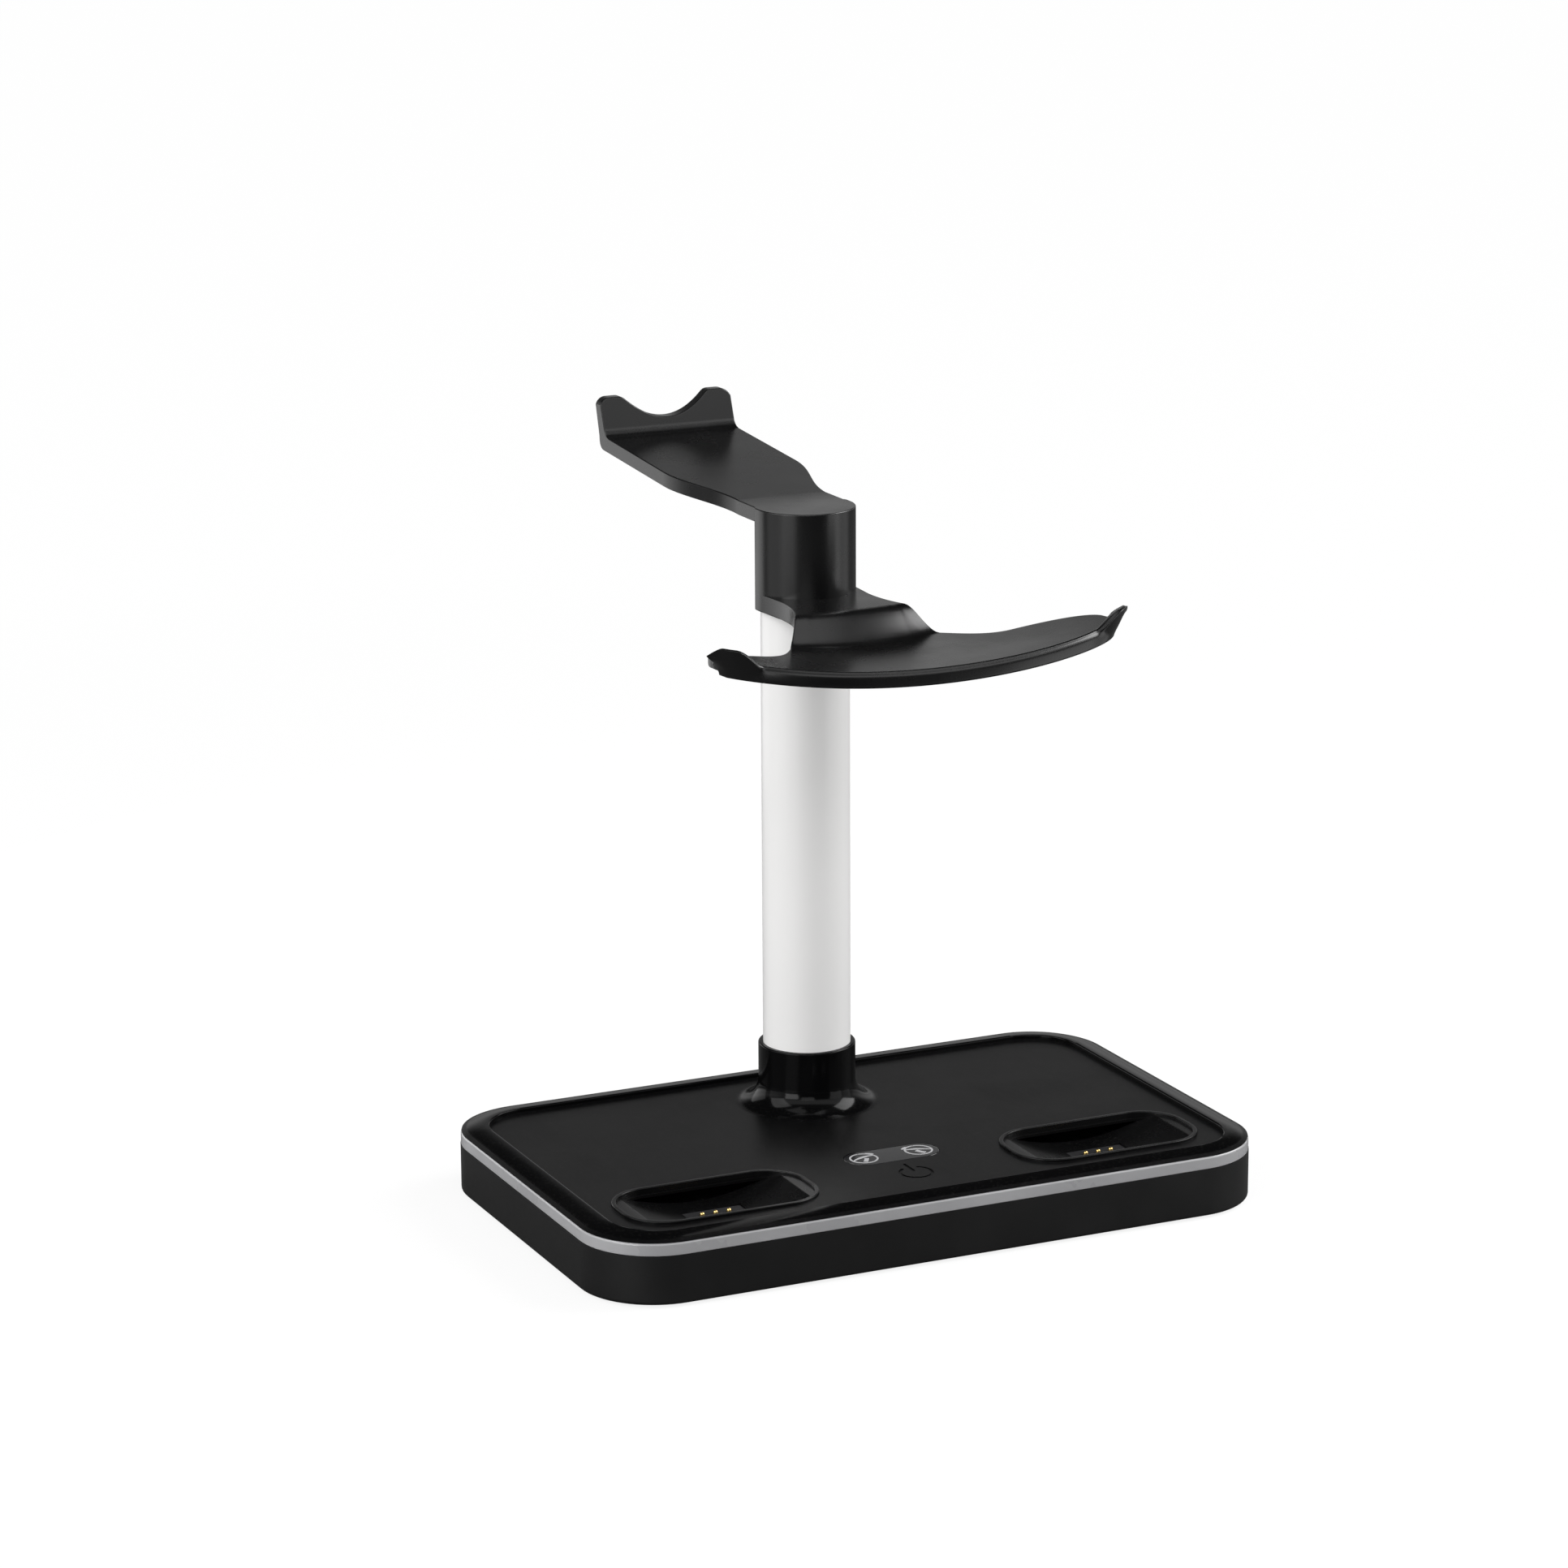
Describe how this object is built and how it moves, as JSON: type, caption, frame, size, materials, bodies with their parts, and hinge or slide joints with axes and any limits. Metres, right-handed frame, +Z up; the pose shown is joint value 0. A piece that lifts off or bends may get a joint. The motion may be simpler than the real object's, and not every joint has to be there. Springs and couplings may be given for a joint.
{
  "type": "headset stand",
  "caption": "Free-standing display and charging stand: rounded base with controller docks and a light band, round pole, front tray and rear arm that hold a headset.",
  "frame": {"origin": "centre of the base in plan, on the surface that the stand rests on", "axes": "+X to the right seen from the front, -Y towards the front (the tray's side), +Z up along the pole"},
  "size_m": [0.23, 0.2209, 0.2379],
  "materials": {
    "shell_black": "satin black",
    "foot_rubber": "matt black",
    "screw_steel": "zinc plated",
    "plate_steel": "plain",
    "foot_metal": "turned",
    "diffuser": "translucent grey, unlit",
    "strip_film": "white film",
    "lamp": "unlit lamp",
    "cover_black": "gloss black",
    "window_smoke": "smoked",
    "copper": "plain",
    "board_green": "solder mask",
    "inlet_steel": "drawn",
    "flex_amber": "film",
    "cradle_black": "satin black",
    "block_black": "matt black",
    "pin_gold": "gold plated",
    "pole_white": "satin white",
    "bracket_black": "satin black"
  },
  "bodies": {
    "stand": {"base_shell": "shell_black", "rubber_mat": "foot_rubber", "base_screws": "screw_steel", "weight_plate": "plate_steel", "plate_screws": "screw_steel", "pole_foot": "foot_metal", "light_ring": "diffuser", "light_strip": "strip_film", "strip_leds": "lamp", "top_cover": "cover_black", "status_window": "window_smoke", "status_leds": "lamp", "touch_pad": "copper", "main_board": "board_green", "board_screws": "screw_steel", "inlet_board": "board_green", "power_inlet": "inlet_steel", "power_flex": "flex_amber", "left_cradle": "cradle_black", "right_cradle": "cradle_black", "left_contact_block": "block_black", "right_contact_block": "block_black", "left_contact_board": "board_green", "right_contact_board": "board_green", "left_flex": "flex_amber", "right_flex": "flex_amber", "pole": "pole_white", "tie_rod": "screw_steel", "rod_washer": "screw_steel", "rod_nut": "screw_steel", "head_insert": "copper", "headset_bracket": "bracket_black"},
    "left_pins": {"left_contact_pins": "pin_gold"},
    "right_pins": {"right_contact_pins": "pin_gold"}
  },
  "joints": [
    {"name": "left_pin_press", "type": "slide", "parent": "stand", "child": "left_pins", "axis": [0, 0, -1], "range_m": [0, 0.0012], "stiffness_N_per_m": 400, "springref_m": -0.0008},
    {"name": "right_pin_press", "type": "slide", "parent": "stand", "child": "right_pins", "axis": [0, 0, -1], "range_m": [0, 0.0012], "stiffness_N_per_m": 400, "springref_m": -0.0008}
  ]
}
